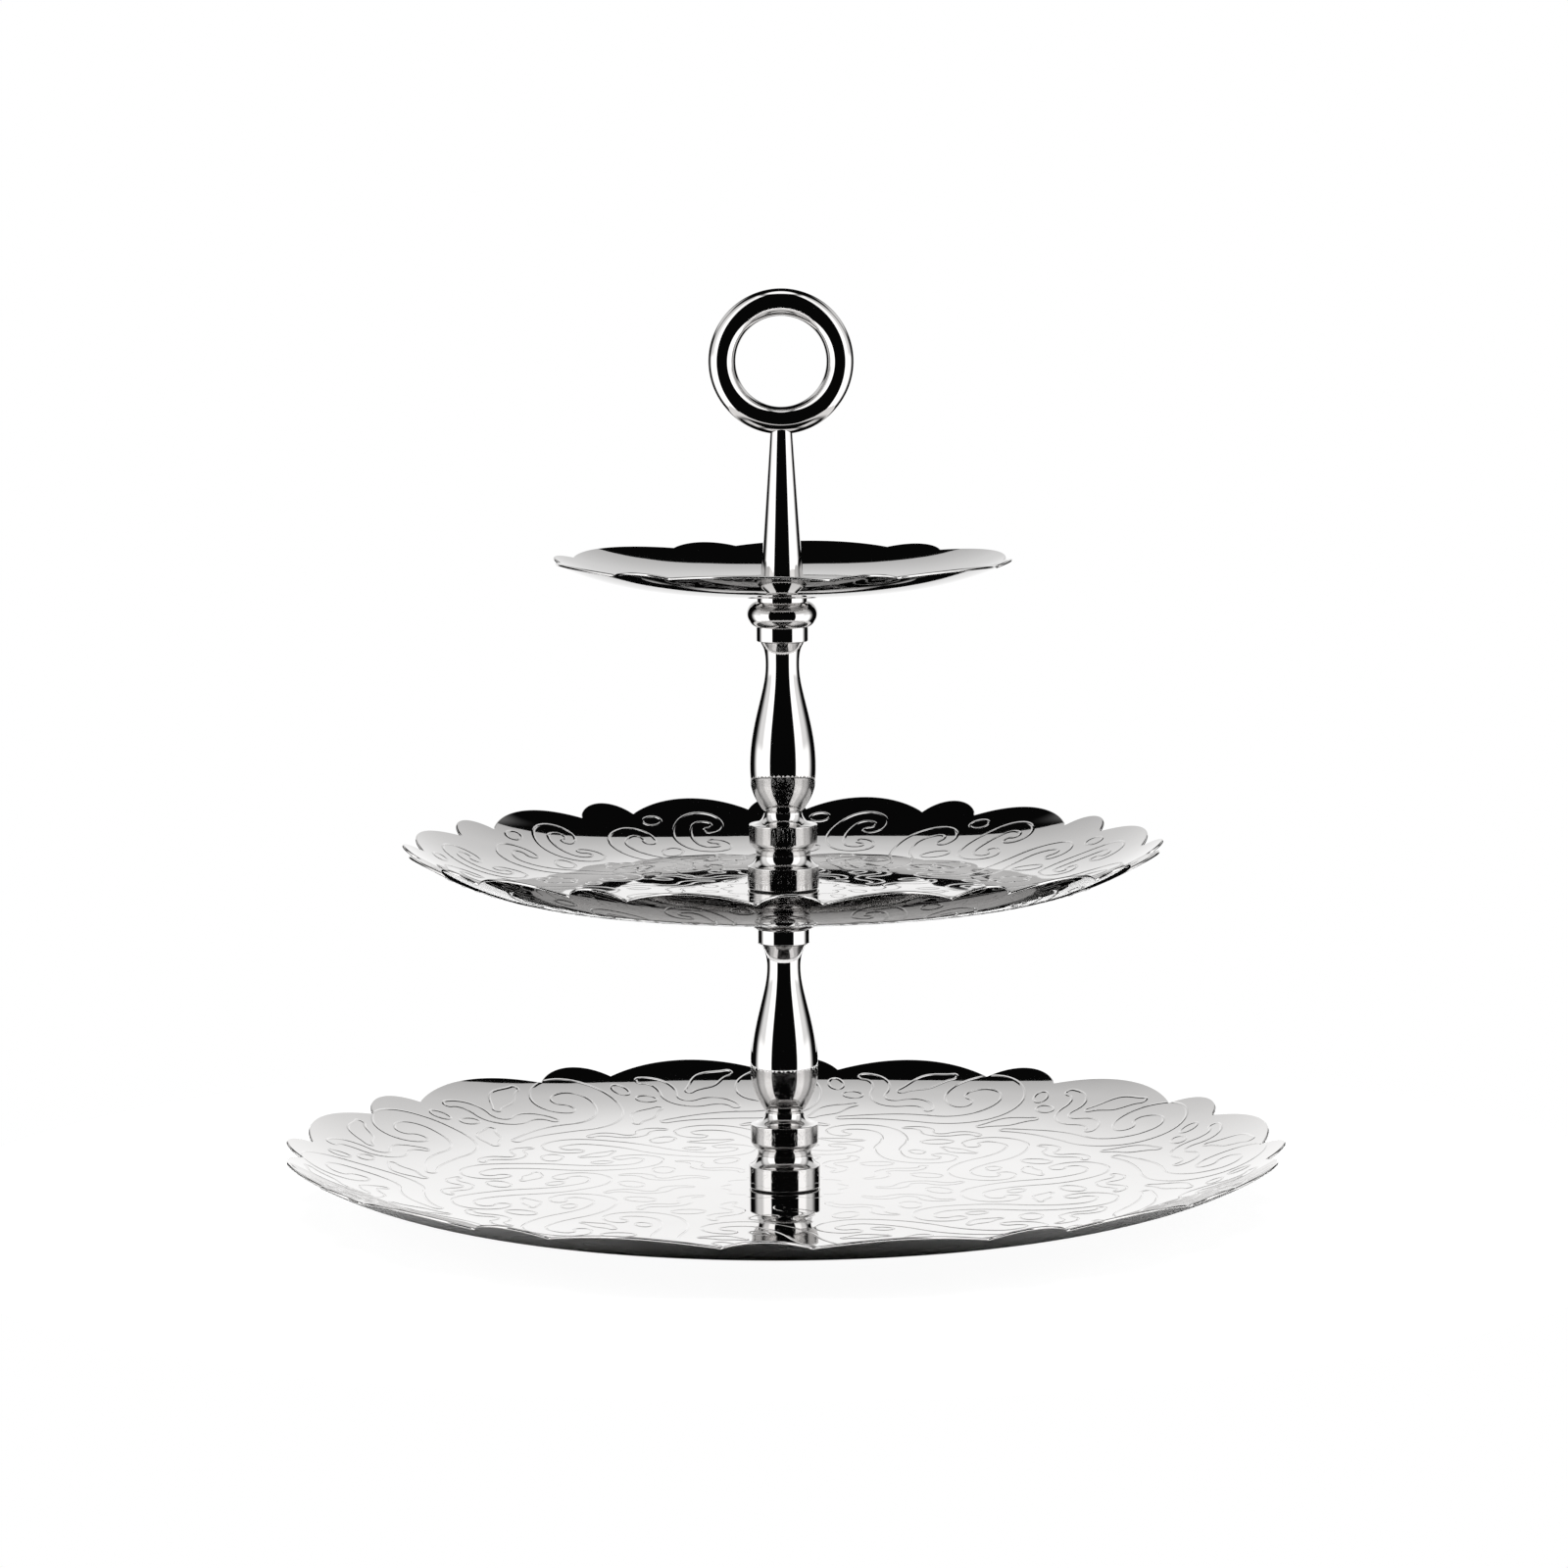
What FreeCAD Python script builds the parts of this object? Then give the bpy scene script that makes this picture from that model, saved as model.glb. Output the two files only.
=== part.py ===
"""Three-tier cake stand: scalloped sheet dishes on a turned centre column with a ring handle.

Millimetres. +Z is up, the origin is on the column's axis at the level the stand rests on,
and the finger ring's circle faces -Y. Each dish floor is the datum of the section above it:
the column pieces are drawn with z counted from the floor that they stand on.
"""
import FreeCAD, Part
import math
import os

# ---- driving dimensions -------------------------------------------------------------------
PAD_HEIGHT = 3.0          # rubber pads under the lowest dish
SHEET = 1.0               # thickness of the dish sheet
TIER_PITCH = 102.6        # from one dish floor to the next
LOWEST_FLOOR = PAD_HEIGHT + SHEET

# Threaded fittings: M6 with a 1 mm lead
THREAD_R = 2.95           # outside of the stud's thread
SOCKET_R = 3.0            # tapped socket that turns on it
DISH_HOLE_R = 3.2         # hole through each dish
STUD_REACH = 9.0          # how far a stud stands above a dish floor
SOCKET_DEPTH = 10.0       # depth of a tapped socket above the dish floor
STUD_ROOT = 11.0          # how far a stud is sunk into the section below, from the dish floor

# Plastic washers on both sides of each dish
GASKET_T = 0.4
GASKET_R = 11.4
UNDER_GASKET_T = 0.3
UNDER_GASKET_R = 8.0

# Fastening under the lowest dish
WASHER_T = 0.5
WASHER_R = 8.0
HEAD_H = 1.8
HEAD_R = 5.5
SLOT_W = 1.2
SLOT_DEPTH = 0.8

# Rubber pads
PAD_R = 5.0
PAD_EDGE = 1.0
PAD_CIRCLE_R = 55.0
PAD_COUNT = 4

# Column section, z counted from the dish floor it stands on
DRUM_R = 12.1
DRUM_TOP = 8.0
COVE_R = 9.35
CAP_DRUM_R = 11.55
CAP_DRUM_BASE = 13.7
CAP_DRUM_TOP = 22.2
CAP_DRUM_ROUND = 1.9
NECK_R = 6.5
NECK_TOP = 26.8
EDGE = 0.4                # small rounding on turned edges
BALUSTER = [              # flowing belly and throat: radius, height
    (7.2, 27.4),
    (9.8, 31.9),
    (11.1, 36.5),
    (11.45, 41.3),
    (10.9, 49.9),
    (9.3, 58.3),
    (7.3, 66.3),
    (5.95, 73.4),
    (5.85, 77.6),
    (6.4, 81.2),
    (7.7, 83.9),
]
COLLAR_R = 8.9
COLLAR_BASE = 84.1
COLLAR_TOP = 88.9
BEAD_R = 12.05
BEAD_Z = 93.1
TOP_COLLAR_R = 8.6
TOP_COLLAR_BASE = 97.6
COLUMN_TOP = 100.2

# Support flange between a column's top and the next dish
FLANGE_STEP_R = 8.75
FLANGE_STEP_T = 0.35
FLANGE_R = 11.65
FLANGE_TOP = TIER_PITCH - SHEET - UNDER_GASKET_T
FLANGE_BASE = COLUMN_TOP

# Handle, z counted from the top dish floor
FOOT_R = 8.6
FOOT_TOP = 2.6
STEM_BASE_R = 7.2
STEM_TIP_R = 3.45
RING_TUBE_R = 4.65
RING_R = 19.75            # centre line of the ring
RING_Z = 75.4

# Dishes: overall radius, depth, flat floor radius, notch depth, pairs of lobes, the wide lobe's
# share of a pair, and the angle from +Y towards +X of the first narrow lobe
DISHES = {
    "lower_dish": (170.0, 16.5, 103.0, 6.2, 12, 2.0 / 3.0, 2.0),
    "middle_dish": (128.7, 16.5, 72.5, 5.9, 12, 2.0 / 3.0, -1.0),
    "upper_dish": (77.9, 10.0, 33.0, 3.1, 6, 0.7, -21.5),
}


# ---- helpers ------------------------------------------------------------------------------
def point(radius, height):
    """A point of a turned profile, drawn in the XZ plane."""
    return FreeCAD.Vector(radius, 0.0, height)


def line(start, end):
    return Part.LineSegment(start, end).toShape()


def arc(start, middle, end):
    return Part.Arc(start, middle, end).toShape()


def path(points):
    """Straight edges from point to point."""
    return [line(a, b) for a, b in zip(points, points[1:])]


def turn(edges):
    """Close the profile and turn it about the column's axis."""
    wire = Part.Wire(Part.__sortEdges__(edges))
    face = Part.Face(wire)
    return face.revolve(FreeCAD.Vector(0, 0, 0), FreeCAD.Vector(0, 0, 1), 360)


def washer(inner, outer, base, top):
    disc = Part.makeCylinder(outer, top - base, FreeCAD.Vector(0, 0, base))
    hole = Part.makeCylinder(inner, top - base, FreeCAD.Vector(0, 0, base))
    return disc.cut(hole)


def rod(radius, base, top):
    return Part.makeCylinder(radius, top - base, FreeCAD.Vector(0, 0, base))


def raised(shape, height):
    shape.translate(FreeCAD.Vector(0, 0, height))
    return shape


# ---- dishes -------------------------------------------------------------------------------
def rim_point(radius, degrees_from_back):
    """A point of the rim's plan, with the angle counted from +Y towards +X."""
    angle = math.radians(90.0 - degrees_from_back)
    return FreeCAD.Vector(radius * math.cos(angle), radius * math.sin(angle), 0.0)


def rim_plan(radius, notch_depth, pairs, wide_share, first_narrow):
    """Closed wire of alternating narrow and wide round lobes that meet in cusps."""
    period = 360.0 / pairs
    wide = period * wide_share
    narrow = period - wide
    notch = radius - notch_depth
    edges = []
    for index in range(pairs):
        middle = first_narrow + index * period
        first = middle - narrow / 2.0
        second = middle + narrow / 2.0
        third = second + wide
        edges.append(arc(rim_point(notch, first), rim_point(radius, middle), rim_point(notch, second)))
        crest = second + wide / 2.0
        edges.append(arc(rim_point(notch, second), rim_point(radius, crest), rim_point(notch, third)))
    return Part.Wire(Part.__sortEdges__(edges))


def dish(radius, depth, flat, notch_depth, pairs, wide_share, first_narrow):
    """Pressed sheet: flat floor, wall on a circular sweep, scalloped rim. Floor top is z = 0."""
    run = radius - flat
    sweep = (run * run + depth * depth) / (2.0 * depth)
    reach = math.asin((run + SHEET) / sweep)

    def wall(sweep_radius, angle):
        return point(flat + sweep_radius * math.sin(angle), sweep - sweep_radius * math.cos(angle))

    inside_end = wall(sweep, reach)
    outside_end = wall(sweep + SHEET, reach)
    edges = path([point(DISH_HOLE_R, 0.0), point(flat, 0.0)])
    edges.append(arc(point(flat, 0.0), wall(sweep, reach / 2.0), inside_end))
    edges += path([inside_end, outside_end])
    edges.append(arc(outside_end, wall(sweep + SHEET, reach / 2.0), point(flat, -SHEET)))
    edges += path([point(flat, -SHEET), point(DISH_HOLE_R, -SHEET), point(DISH_HOLE_R, 0.0)])
    blank = turn(edges)
    plan = Part.Face(rim_plan(radius, notch_depth, pairs, wide_share, first_narrow))
    plan.translate(FreeCAD.Vector(0, 0, -2.0 * SHEET))
    return blank.common(plan.extrude(FreeCAD.Vector(0, 0, depth + 4.0 * SHEET)))


# ---- column -------------------------------------------------------------------------------
def column():
    """One turned section with a tapped socket at its foot and a stud's seat in its top."""
    base = GASKET_T
    seat = TIER_PITCH - STUD_ROOT
    edges = path([point(SOCKET_R, base), point(DRUM_R - EDGE, base)])
    edges.append(arc(
        point(DRUM_R - EDGE, base),
        point(DRUM_R - 0.29 * EDGE, base + 0.29 * EDGE),
        point(DRUM_R, base + EDGE)))
    edges += path([point(DRUM_R, base + EDGE), point(DRUM_R, DRUM_TOP - EDGE), point(DRUM_R - EDGE, DRUM_TOP)])
    cove_end = point(COVE_R + 0.1, CAP_DRUM_BASE)
    edges.append(arc(point(DRUM_R - EDGE, DRUM_TOP), point(COVE_R + 0.35, DRUM_TOP + 2.0), cove_end))
    drum_side = point(CAP_DRUM_R, CAP_DRUM_BASE + CAP_DRUM_ROUND + 0.5)
    drum_round = point(CAP_DRUM_R - 0.45 * CAP_DRUM_ROUND, CAP_DRUM_BASE + 0.5 * CAP_DRUM_ROUND)
    edges.append(arc(cove_end, drum_round, drum_side))
    edges += path([drum_side, point(CAP_DRUM_R, CAP_DRUM_TOP - EDGE), point(CAP_DRUM_R - EDGE, CAP_DRUM_TOP)])
    neck_end = point(NECK_R, NECK_TOP)
    edges.append(arc(point(CAP_DRUM_R - EDGE, CAP_DRUM_TOP), point(NECK_R + 0.9, CAP_DRUM_TOP + 1.5), neck_end))
    edges += path([neck_end, point(*BALUSTER[0])])
    flow = Part.BSplineCurve()
    flow.interpolate([point(radius, height) for radius, height in BALUSTER])
    edges.append(flow.toShape())
    edges += path([
        point(*BALUSTER[-1]),
        point(COLLAR_R - EDGE, COLLAR_BASE),
        point(COLLAR_R, COLLAR_BASE + EDGE),
        point(COLLAR_R, COLLAR_TOP)])
    bead_end = point(TOP_COLLAR_R, TOP_COLLAR_BASE)
    edges.append(arc(point(COLLAR_R, COLLAR_TOP), point(BEAD_R, BEAD_Z), bead_end))
    edges += path([
        bead_end,
        point(TOP_COLLAR_R, COLUMN_TOP),
        point(THREAD_R, COLUMN_TOP),
        point(THREAD_R, seat),
        point(0.0, seat),
        point(0.0, SOCKET_DEPTH),
        point(SOCKET_R, SOCKET_DEPTH),
        point(SOCKET_R, base)])
    return turn(edges)


def flange():
    """Stepped support disc with a thin pointed edge."""
    middle = (FLANGE_BASE + FLANGE_STEP_T + FLANGE_TOP) / 2.0
    shoulder = FLANGE_BASE + FLANGE_STEP_T
    return turn(path([
        point(THREAD_R + 0.1, FLANGE_BASE),
        point(FLANGE_STEP_R, FLANGE_BASE),
        point(FLANGE_STEP_R, shoulder),
        point(FLANGE_R, middle - 0.05),
        point(FLANGE_R, middle + 0.05),
        point(FLANGE_R - 1.6, FLANGE_TOP),
        point(THREAD_R + 0.1, FLANGE_TOP),
        point(THREAD_R + 0.1, FLANGE_BASE)]))


def stud():
    """Threaded stud: sunk in the section below, standing up through the dish."""
    root = TIER_PITCH - STUD_ROOT
    tip = TIER_PITCH + STUD_REACH
    return turn(path([
        point(0.0, root),
        point(THREAD_R - 0.6, root),
        point(THREAD_R, root + 0.6),
        point(THREAD_R, tip - 0.6),
        point(THREAD_R - 0.6, tip),
        point(0.0, tip),
        point(0.0, root)]))


# ---- handle -------------------------------------------------------------------------------
def ring():
    """Round-bar finger ring whose circle stands in the XZ plane."""
    return Part.makeTorus(RING_R, RING_TUBE_R, FreeCAD.Vector(0, 0, RING_Z), FreeCAD.Vector(0, 1, 0))


def stem():
    """Tapered stem on a low foot, coped at its tip to sit on the ring."""
    base = GASKET_T
    tip = RING_Z - RING_R
    edges = path([
        point(SOCKET_R, base),
        point(FOOT_R - EDGE, base),
        point(FOOT_R, base + EDGE),
        point(FOOT_R, FOOT_TOP - EDGE),
        point(FOOT_R - EDGE, FOOT_TOP),
        point(STEM_BASE_R, FOOT_TOP)])
    taper = Part.BSplineCurve()
    taper.interpolate([
        point(STEM_BASE_R, FOOT_TOP),
        point(6.1, 17.8),
        point(4.6, 39.0),
        point(STEM_TIP_R, tip)])
    edges.append(taper.toShape())
    edges += path([
        point(STEM_TIP_R, tip),
        point(0.0, tip),
        point(0.0, SOCKET_DEPTH),
        point(SOCKET_R, SOCKET_DEPTH),
        point(SOCKET_R, base)])
    return turn(edges).cut(ring())


# ---- fastening under the lowest dish ------------------------------------------------------
def base_screw():
    """Slotted low-head screw, up through the lowest dish. Dish floor top is z = 0."""
    seat = -SHEET - UNDER_GASKET_T - WASHER_T
    shank = rod(THREAD_R, seat, STUD_REACH)
    head = rod(HEAD_R, seat - HEAD_H, seat)
    rim = head.Edges[0]
    for edge in head.Edges:
        if isinstance(edge.Curve, Part.Circle) and abs(edge.Curve.Center.z - (seat - HEAD_H)) < 1e-6:
            rim = edge
    head = head.makeFillet(0.6 * HEAD_H, [rim])
    slot = Part.makeBox(3.0 * HEAD_R, SLOT_W, SLOT_DEPTH)
    slot.translate(FreeCAD.Vector(-1.5 * HEAD_R, -SLOT_W / 2.0, seat - HEAD_H))
    return head.fuse(shank).cut(slot).removeSplitter()


def foot_pad(index):
    """Low round rubber pad with a softened lower edge."""
    angle = math.radians(45.0 + index * 360.0 / PAD_COUNT)
    pad = turn(path([
        point(0.0, 0.0),
        point(PAD_R - PAD_EDGE, 0.0),
        point(PAD_R, PAD_EDGE),
        point(PAD_R, PAD_HEIGHT),
        point(0.0, PAD_HEIGHT),
        point(0.0, 0.0)]))
    pad.translate(FreeCAD.Vector(PAD_CIRCLE_R * math.cos(angle), PAD_CIRCLE_R * math.sin(angle), 0))
    return pad


# ---- assembly -----------------------------------------------------------------------------
def assemble():
    """Every node's solid, in place."""
    floors = [LOWEST_FLOOR + level * TIER_PITCH for level in range(3)]
    nodes = {}
    for name, floor in zip(DISHES, floors):
        nodes[name] = raised(dish(*DISHES[name]), floor)
    for name, floor in zip(("lower", "upper"), floors):
        nodes[name + "_column"] = raised(column(), floor)
        nodes[name + "_flange"] = raised(flange(), floor)
    for name, floor in zip(("middle", "upper"), floors):
        nodes[name + "_stud"] = raised(stud(), floor)
        top = floor + TIER_PITCH - SHEET
        nodes[name + "_under_gasket"] = washer(SOCKET_R, UNDER_GASKET_R, top - UNDER_GASKET_T, top)
    for name, floor in zip(("lower", "middle", "upper"), floors):
        nodes[name + "_gasket"] = washer(SOCKET_R, GASKET_R, floor, floor + GASKET_T)
    nodes["upper_gasket"] = washer(SOCKET_R, FOOT_R - 0.7, floors[2], floors[2] + GASKET_T)
    nodes["handle_stem"] = raised(stem(), floors[2])
    nodes["handle_ring"] = raised(ring(), floors[2])
    under = LOWEST_FLOOR - SHEET
    nodes["base_gasket"] = washer(SOCKET_R, UNDER_GASKET_R, under - UNDER_GASKET_T, under)
    nodes["base_washer"] = washer(
        SOCKET_R, WASHER_R, under - UNDER_GASKET_T - WASHER_T, under - UNDER_GASKET_T)
    nodes["base_screw"] = raised(base_screw(), LOWEST_FLOOR)
    for index in range(PAD_COUNT):
        nodes["foot_pad_%d" % (index + 1)] = foot_pad(index)
    return nodes


def main():
    os.makedirs("parts", exist_ok=True)
    for name, shape in assemble().items():
        shape.exportStep("parts/%s.step" % name)
        box = shape.BoundBox
        print("%-20s %9.1f mm3  z %7.2f to %7.2f  valid %s" % (
            name, shape.Volume, box.ZMin, box.ZMax, shape.isValid()))


main()
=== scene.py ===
"""Looks of the three-tier cake stand: pressed and turned mirror-polished steel.

Shapes are worked out in millimetres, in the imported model's own frame, and written to Blender
in metres. +Z is up and the finger ring's circle faces -Y, towards the camera.
"""
import math

import bpy
import numpy as np
from mathutils import Matrix, Vector
from mathutils.geometry import delaunay_2d_cdt


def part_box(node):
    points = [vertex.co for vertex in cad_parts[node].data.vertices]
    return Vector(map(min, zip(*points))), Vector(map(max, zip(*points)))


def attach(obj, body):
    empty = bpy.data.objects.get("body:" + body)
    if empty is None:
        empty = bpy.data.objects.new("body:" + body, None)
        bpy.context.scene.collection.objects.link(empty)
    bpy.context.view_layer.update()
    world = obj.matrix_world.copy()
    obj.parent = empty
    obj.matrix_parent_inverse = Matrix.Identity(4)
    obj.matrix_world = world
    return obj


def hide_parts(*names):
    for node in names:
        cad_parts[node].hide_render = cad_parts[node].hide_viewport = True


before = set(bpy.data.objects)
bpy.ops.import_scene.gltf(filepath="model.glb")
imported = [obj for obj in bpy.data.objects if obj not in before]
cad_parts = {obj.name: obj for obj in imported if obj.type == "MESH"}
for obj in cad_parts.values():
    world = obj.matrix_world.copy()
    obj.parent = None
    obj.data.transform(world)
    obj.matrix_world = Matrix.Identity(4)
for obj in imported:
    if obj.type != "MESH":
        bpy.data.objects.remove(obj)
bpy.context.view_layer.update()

MM = 0.001


def extent(node):
    """Lowest and highest corner of a CAD node, in millimetres."""
    low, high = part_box(node)
    return np.array(low) / MM, np.array(high) / MM


# ---- sizes, in millimetres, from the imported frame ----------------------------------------
SHEET = 1.0
FINE = 0.4                # spacing of points along a motif as it is drawn
BEND_STEP = 0.55          # spacing along a relief line: this times the root of its radius,
SHORT_STEP = 0.6          # but no less than this
LONG_STEP = 2.2           # and no more than this
RELIEF_HALF = 0.72        # half width of a relief line
RELIEF_HEIGHT = 0.24      # on the wall; it fades over the floor
FAINT_R = 24.0            # to this distance from the axis, where it is
FAINT_SHARE = 0.3         # this much of that height
LINE_CLEARANCE = 2.7      # from one relief line to the next
RIM_MARGIN = 4.6          # plain strip inside the rim
FILLING_CLEARANCE = 1.35  # no coarse point comes nearer to a relief line than this,
FILLING_INSET = 1.6       # or to the rounded edge than this
SEED = {"lower": 11, "middle": 5}
RIM_INSET = 0.8           # from the plan of the rim to where the rounded edge starts
HOLE_R = 3.2              # bolt hole in a dish
GASKET_T = 0.4            # a section or the handle starts this far above the dish floor
FLANGE_LOW = 2.4          # underside of a flange, below the floor of the dish it carries
FLANGE_HIGH = 1.3         # and its top
SOCKET_R = 3.0
SOCKET_DEPTH = 10.0
THREAD_R = 2.95
THREAD_PITCH = 1.0
THREAD_DEPTH = 0.55
STUD_ROOT = 11.0          # how deep a stud sits below the floor of the dish above it
TIP_TAPER = 0.6           # how much narrower a thread is at its ends
EDGE = 0.4                # rounding of the turned edges
HEAD_H = 1.8
SLOT_W = 1.2
SLOT_DEPTH = 0.8
PAD_EDGE = 1.0
PAD_DENT = 0.25           # hollow under a foot pad
AROUND = 160              # faces round a turned piece
CREASE = math.radians(35.0)

# ---- studio, in metres and relative brightness --------------------------------------------
TABLE_R = 0.30
TABLE_LIGHT = 10.5        # light on the table from above
SIDE_LIGHT = 14.0         # and from low at the sides
TABLE_HAZE = 0.9          # share of plain white in the table that the camera sees
TABLE_WHITE = 1.06        # brightness of that white
BOX_LIGHT = 1.7           # the boxes that the steel mirrors
BOX_FALL = 0.25           # how much dimmer they are high up
BOX_DIP = 0.4             # and straight across the stand, by this share
BESIDE_LIGHT = 0.8        # the strips beside the back card
STRAY_LIGHT = 0.003
CARD_HALF = 0.33
CARD_AWAY = 0.5
CARD_LOW = -0.02
CARD_TOP = 0.488

FLOORS = {
    "lower": extent("lower_dish")[0][2] + SHEET,
    "middle": extent("middle_dish")[0][2] + SHEET,
    "upper": extent("upper_dish")[0][2] + SHEET,
}
PITCH = FLOORS["middle"] - FLOORS["lower"]

# radius, depth, radius of the floor, radius where the sheet starts to rise, power of the distance
# from there that it rises with, notch depth, pairs of lobes, wide lobe's share of a pair, and the
# angle from +Y towards +X of the first narrow lobe
DISHES = {
    "lower": (170.0, 16.5, 103.0, 50.0, 4.4, 6.2, 12, 2.0 / 3.0, 2.0),
    "middle": (128.7, 16.5, 72.5, 72.5, 2.4, 5.9, 12, 2.0 / 3.0, -1.0),
    "upper": (77.9, 10.0, 33.0, 33.0, 2.1, 3.1, 6, 0.7, -21.5),
}


# ---- meshes --------------------------------------------------------------------------------
def add_mesh(name, points, faces, body, nodes, material):
    """A smooth piece from points in millimetres, which rides on a body and stands for CAD nodes."""
    mesh = bpy.data.meshes.new(name)
    mesh.from_pydata([tuple(p) for p in np.asarray(points) * MM], [], faces)
    mesh.polygons.foreach_set("use_smooth", [True] * len(mesh.polygons))
    mesh.materials.append(material)
    piece = bpy.data.objects.new(name, mesh)
    bpy.context.scene.collection.objects.link(piece)
    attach(piece, body)
    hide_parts(*nodes)
    return piece


# ---- turned pieces -------------------------------------------------------------------------
# A profile is a list of runs. A run is (points, normals), each an array of (radius, height),
# drawn so that the solid lies to the left of the way it goes.
def straight(*points):
    runs = []
    for start, end in zip(points, points[1:]):
        start = np.array(start, float)
        end = np.array(end, float)
        along = (end - start) / np.linalg.norm(end - start)
        normal = np.array([along[1], -along[0]])
        runs.append((np.array([start, end]), np.array([normal, normal])))
    return runs


def arc(start, middle, end, step=0.45):
    """One run along the circle through three points."""
    (ax, ay), (bx, by), (cx, cy) = start, middle, end
    area4 = 2.0 * (ax * (by - cy) + bx * (cy - ay) + cx * (ay - by))
    a2, b2, c2 = ax * ax + ay * ay, bx * bx + by * by, cx * cx + cy * cy
    ox = (a2 * (by - cy) + b2 * (cy - ay) + c2 * (ay - by)) / area4
    oy = (a2 * (cx - bx) + b2 * (ax - cx) + c2 * (bx - ax)) / area4
    radius = math.hypot(ax - ox, ay - oy)
    first = math.atan2(ay - oy, ax - ox)
    last = math.atan2(cy - oy, cx - ox)
    bulges = (bx - ax) * (cy - ay) - (by - ay) * (cx - ax) < 0.0
    if bulges and last > first:
        last -= 2.0 * math.pi
    if not bulges and last < first:
        last += 2.0 * math.pi
    steps = max(4, int(math.ceil(radius * abs(last - first) / step)))
    turns = np.linspace(first, last, steps + 1)
    outward = np.stack([np.cos(turns), np.sin(turns)], 1)
    points = np.array([ox, oy]) + radius * outward
    return [(points, -outward if bulges else outward)]


def flowing(knots, steps=60):
    """One run along a natural cubic spline through the knots, by chord length."""
    knots = np.array(knots, float)
    t = np.concatenate([[0.0], np.cumsum(np.hypot(*np.diff(knots, axis=0).T))])
    gaps = np.diff(t)
    count = len(knots)
    system = np.zeros((count, count))
    right = np.zeros((count, 2))
    system[0, 0] = system[-1, -1] = 1.0
    for i in range(1, count - 1):
        system[i, i - 1:i + 2] = gaps[i - 1], 2.0 * (gaps[i - 1] + gaps[i]), gaps[i]
        rise = (knots[i + 1] - knots[i]) / gaps[i] - (knots[i] - knots[i - 1]) / gaps[i - 1]
        right[i] = 6.0 * rise
    bend = np.linalg.solve(system, right)
    want = np.linspace(0.0, t[-1], steps + 1)
    span = np.clip(np.searchsorted(t, want, side="right") - 1, 0, count - 2)
    gap = gaps[span][:, None]
    before = (want - t[span])[:, None]
    after = gap - before
    low, high = bend[span], bend[span + 1]
    points = (low * after ** 3 + high * before ** 3) / (6.0 * gap)
    points += (knots[span] / gap - low * gap / 6.0) * after
    points += (knots[span + 1] / gap - high * gap / 6.0) * before
    slope = (high * before ** 2 - low * after ** 2) / (2.0 * gap)
    slope += (knots[span + 1] - knots[span]) / gap - (high - low) * gap / 6.0
    slope /= np.linalg.norm(slope, axis=1)[:, None]
    return [(points, np.stack([slope[:, 1], -slope[:, 0]], 1))]


def turned(name, runs, base, body, nodes, material, centre=(0.0, 0.0), around=AROUND):
    """Turn a profile about an upright axis. Each corner keeps the profile's own normals."""
    rows, spans = [], []
    for points, normals in runs:
        if not rows:
            rows.append(points[0])
        for i in range(1, len(points)):
            rows.append(points[i])
            spans.append((len(rows) - 2, len(rows) - 1, normals[i - 1], normals[i]))
    rows = np.array(rows)
    closed = np.allclose(rows[0], rows[-1])
    angles = 2.0 * math.pi * np.arange(around) / around
    cosines, sines = np.cos(angles), np.sin(angles)
    starts, points = [], []
    used = len(rows) - 1 if closed else len(rows)
    for radius, height in rows[:used]:
        starts.append(len(points))
        if radius < 1e-6:
            points.append((centre[0], centre[1], base + height))
            continue
        for c, s in zip(cosines, sines):
            points.append((centre[0] + radius * c, centre[1] + radius * s, base + height))
    if closed:
        starts.append(starts[0])
    faces, corner_normals = [], []
    for low, high, low_normal, high_normal in spans:
        low_axis, high_axis = rows[low][0] < 1e-6, rows[high][0] < 1e-6
        if low_axis and high_axis:
            continue
        for i in range(around):
            j = (i + 1) % around
            if low_axis:
                corners = [(starts[low], low_normal, i)]
            else:
                corners = [(starts[low] + i, low_normal, i), (starts[low] + j, low_normal, j)]
            if high_axis:
                corners.append((starts[high], high_normal, i))
            else:
                corners += [(starts[high] + j, high_normal, j), (starts[high] + i, high_normal, i)]
            faces.append([corner[0] for corner in corners])
            for _, normal, at in corners:
                corner_normals.append((normal[0] * cosines[at], normal[0] * sines[at], normal[1]))
    piece = add_mesh(name, points, faces, body, nodes, material)
    piece.data.normals_split_custom_set(corner_normals)
    return piece


# ---- relief lines --------------------------------------------------------------------------
# Every line is closed. A motif is drawn about (0, 0) with +Y away from the dish's centre.
def stroke(arcs):
    """Centre line of a scroll from (0, 0): arcs of (radius, degrees), positive to the left."""
    x, y, heading = 0.0, 0.0, math.pi / 2.0
    points, headings = [(x, y)], [heading]
    for radius, degrees in arcs:
        steps = max(2, int(math.ceil(radius * math.radians(abs(degrees)) / FINE)))
        turn = math.radians(degrees) / steps
        chord = 2.0 * radius * math.sin(abs(turn) / 2.0)
        for _ in range(steps):
            x += chord * math.cos(heading + turn / 2.0)
            y += chord * math.sin(heading + turn / 2.0)
            heading += turn
            points.append((x, y))
            headings.append(heading)
    return np.array(points), np.array(headings)


def eased(part, values):
    """Run smoothly through the values as part goes from 0 to 1."""
    place = np.clip(part, 0.0, 1.0) * (len(values) - 1)
    low = np.minimum(place.astype(int), len(values) - 2)
    step = place - low
    step = step * step * (3.0 - 2.0 * step)
    values = np.array(values, float)
    return values[low] * (1.0 - step) + values[low + 1] * step


def round_end(centre, heading, radius):
    steps = max(3, int(round(math.pi * radius / FINE)))
    turns = heading - math.pi / 2.0 + math.pi * np.arange(1, steps) / steps
    return centre + radius * np.stack([np.cos(turns), np.sin(turns)], 1)


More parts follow.
